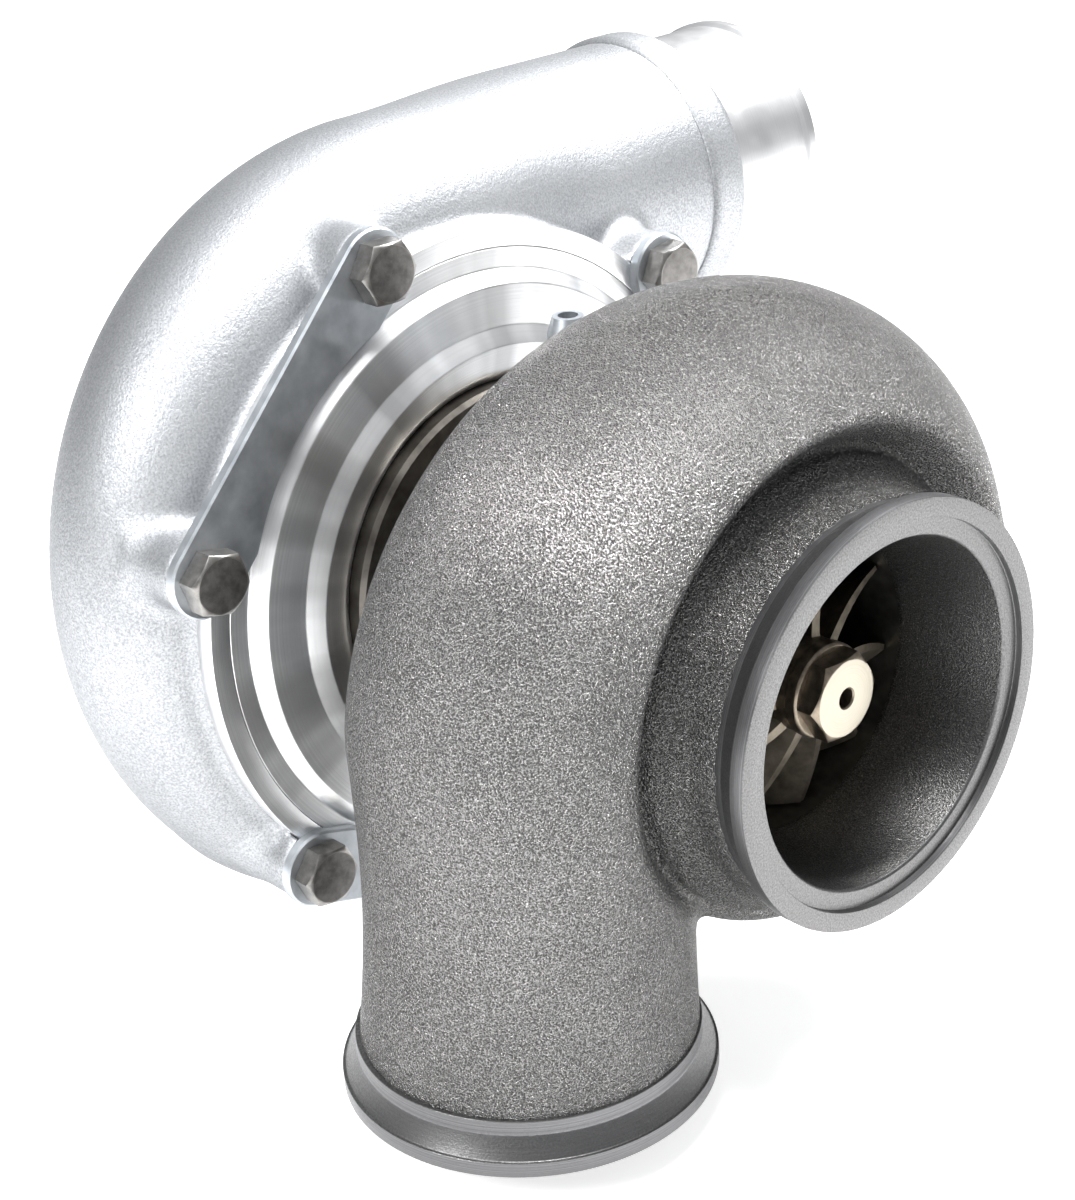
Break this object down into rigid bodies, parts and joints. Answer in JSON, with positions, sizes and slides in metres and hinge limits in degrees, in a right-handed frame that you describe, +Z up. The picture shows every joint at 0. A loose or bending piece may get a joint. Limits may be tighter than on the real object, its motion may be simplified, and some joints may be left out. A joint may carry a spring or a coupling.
{
  "type": "turbocharger",
  "caption": "Turbocharger with a turning rotor: V-band turbine housing, bearing housing and a hose-mounted compressor housing held by clamp plates.",
  "frame": {"origin": "centre of the turbine inlet flange's register", "axes": "+X along the shaft from the compressor inlet to the turbine outlet, +Z up and away from the turbine inlet, +Y the way the compressor outlet points"},
  "size_m": [0.214, 0.2265, 0.1868],
  "materials": {
    "turbine_casting": "rough sand casting, turned bright on the flanges and bores",
    "bearing_casting": "sand casting, turned on the flanges",
    "cast_aluminium": "bead-blasted casting, turned on the spigots and rim",
    "turned_aluminium": "fine turned",
    "milled_aluminium": "milled",
    "zinc_plate": "zinc plated",
    "bolt_steel": "stainless",
    "shield_steel": "pressed sheet",
    "spring_steel": "ground",
    "hardened_steel": "ground",
    "nickel_alloy": "investment cast, ground on the shaft and nose",
    "bronze": "turned",
    "copper": "pressed",
    "seal_rubber": "moulded"
  },
  "bodies": {
    "housings": {"turbine_housing": "turbine_casting", "turbine_clamp_plates": "zinc_plate", "turbine_housing_bolts": "bolt_steel", "heat_shield": "shield_steel", "bearing_housing": "bearing_casting", "oil_inlet_fitting": "zinc_plate", "oil_inlet_washer": "copper", "bearing_snap_rings": "spring_steel", "piston_ring_turbine": "spring_steel", "thrust_bearing": "bronze", "thrust_bearing_screws": "bolt_steel", "oil_deflector": "shield_steel", "piston_ring_compressor": "spring_steel", "compressor_backplate": "turned_aluminium", "backplate_o_ring": "seal_rubber", "center_housing_o_ring": "seal_rubber", "backplate_bolts": "bolt_steel", "compressor_housing": "cast_aluminium", "clamp_plate_upper": "zinc_plate", "clamp_plate_lower": "zinc_plate", "clamp_plate_side": "zinc_plate", "cover_bolts": "bolt_steel"},
    "rotor": {"turbine_wheel_and_shaft": "nickel_alloy", "thrust_collar": "hardened_steel", "compressor_wheel": "milled_aluminium", "compressor_nut": "hardened_steel"},
    "floating_bearing_turbine": {"journal_bearing_turbine": "bronze"},
    "floating_bearing_compressor": {"journal_bearing_compressor": "bronze"}
  },
  "joints": [
    {"name": "rotor_spin", "type": "hinge", "parent": "housings", "child": "rotor", "pos_m": [-0.038, 0.0535, 0.0779], "axis": [-1, 0, 0], "continuous": true},
    {"name": "turbine_bearing_spin", "type": "hinge", "parent": "housings", "child": "floating_bearing_turbine", "pos_m": [-0.0292, 0.0535, 0.0779], "axis": [-1, 0, 0], "continuous": true},
    {"name": "compressor_bearing_spin", "type": "hinge", "parent": "housings", "child": "floating_bearing_compressor", "pos_m": [-0.0477, 0.0535, 0.0779], "axis": [-1, 0, 0], "continuous": true}
  ],
  "couplings": [
    {"joint": "turbine_bearing_spin", "follows": "rotor_spin", "ratio": 0.3},
    {"joint": "compressor_bearing_spin", "follows": "rotor_spin", "ratio": 0.3}
  ]
}
